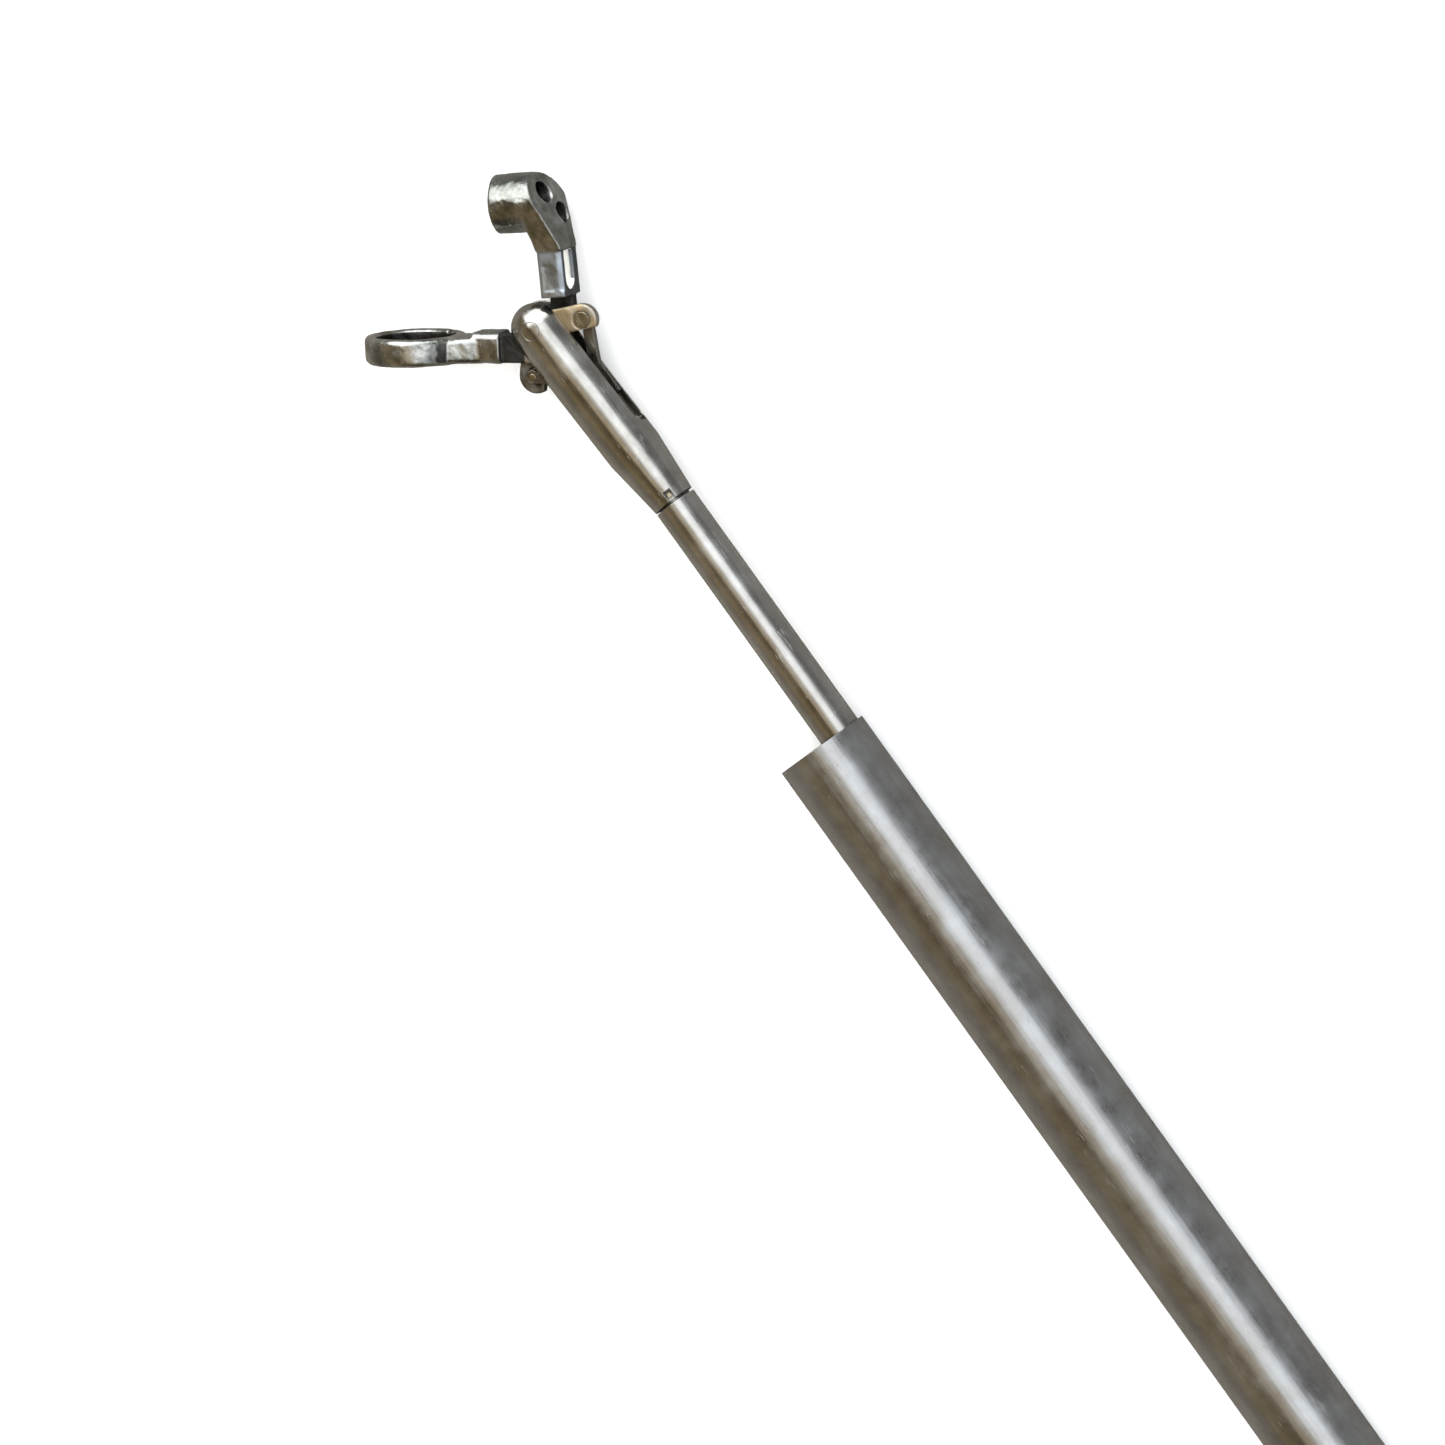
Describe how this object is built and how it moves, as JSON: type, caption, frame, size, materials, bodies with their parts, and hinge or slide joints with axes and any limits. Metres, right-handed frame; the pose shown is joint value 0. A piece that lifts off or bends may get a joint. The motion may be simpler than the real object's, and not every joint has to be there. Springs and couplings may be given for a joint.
{
  "type": "push-rod magnetic pickup tool",
  "caption": "Slim steel pickup tool: a ring jaw and a magnet hook jaw on a clevis, worked by a push rod from a three-ring handle, with an eccentric sliding sleeve.",
  "frame": {"origin": "centre of the thumb ring's hole, at mid height", "axes": "+Z along the thumb ring's hole, up from the surface the tool lies on; X along the tool with the jaws at -X; the jaws swing in the XY plane, the hook jaw on the +Y side"},
  "size_m": [0.3299, 0.069, 0.0128],
  "materials": {
    "clevis_steel": "polished stainless, fine lengthwise scratches",
    "jaw_steel": "cast stainless, tumbled and polished, small dents",
    "link_steel": "stamped stainless, satin",
    "pin_steel": "turned stainless",
    "inner_tube_steel": "drawn stainless, fine lengthwise grain",
    "sleeve_steel": "drawn stainless, worn, fine scratches",
    "handle_steel": "turned and brushed stainless",
    "ring_steel": "satin stainless",
    "screw_steel": "blackened steel",
    "magnet_plating": "nickel plating on a neodymium disc",
    "bush_brass": "turned brass",
    "pad_plastic": "natural nylon"
  },
  "bodies": {
    "root": {"clevis": "clevis_steel", "clevis_lock_pin": "pin_steel", "jaw_pivot_pin": "clevis_steel", "inner_tube": "inner_tube_steel", "guide_rod": "pin_steel", "tube_socket": "handle_steel", "socket_screw": "screw_steel", "barrel": "handle_steel", "end_plug": "handle_steel", "end_plug_pin": "pin_steel", "lock_nut": "screw_steel", "thumb_ring": "ring_steel"},
    "sleeve": {"outer_sleeve": "sleeve_steel", "front_bush": "bush_brass", "rear_bush": "bush_brass", "friction_pad": "pad_plastic"},
    "slider": {"finger_slider": "handle_steel", "finger_ring_left": "ring_steel", "finger_ring_right": "ring_steel", "cross_pin": "pin_steel", "rod_carrier": "screw_steel", "carrier_screw": "screw_steel", "push_rod": "pin_steel", "rod_yoke": "link_steel", "yoke_rivet": "pin_steel"},
    "ring_jaw": {"ring_jaw": "jaw_steel", "ring_tail_pin": "pin_steel"},
    "hook_jaw": {"hook_jaw": "jaw_steel", "hook_tail_pin": "pin_steel", "magnet": "magnet_plating"},
    "ring_link": {"ring_link": "link_steel", "drive_pin": "pin_steel"},
    "hook_link": {"hook_link": "link_steel"}
  },
  "joints": [
    {"name": "finger_slide", "type": "slide", "parent": "root", "child": "slider", "axis": [1, 0, 0], "range_m": [0, 0.00361]},
    {"name": "sleeve_slide", "type": "slide", "parent": "root", "child": "sleeve", "axis": [-1, 0, 0], "range_m": [0, 0.033]},
    {"name": "ring_jaw_pivot", "type": "hinge", "parent": "root", "child": "ring_jaw", "pos_m": [-0.29678, 0.00166, 0], "axis": [0, 0, 1], "range_deg": [-43.1, 0]},
    {"name": "hook_jaw_pivot", "type": "hinge", "parent": "root", "child": "hook_jaw", "pos_m": [-0.29678, 0.00166, 0], "axis": [0, 0, 1], "range_deg": [0, 43.1]},
    {"name": "ring_link_pivot", "type": "hinge", "parent": "ring_jaw", "child": "ring_link", "pos_m": [-0.2945, 0.00666, 0], "axis": [0, 0, 1], "range_deg": [0, 72.88]},
    {"name": "hook_link_pivot", "type": "hinge", "parent": "hook_jaw", "child": "hook_link", "pos_m": [-0.29279, -0.00213, 0], "axis": [0, 0, 1], "range_deg": [-72.88, 0]}
  ],
  "couplings": [
    {"joint": "ring_jaw_pivot", "follows": "finger_slide", "rad_per_m": -208.42},
    {"joint": "hook_jaw_pivot", "follows": "finger_slide", "rad_per_m": 208.42},
    {"joint": "ring_link_pivot", "follows": "finger_slide", "rad_per_m": 352.38},
    {"joint": "hook_link_pivot", "follows": "finger_slide", "rad_per_m": -352.38}
  ]
}
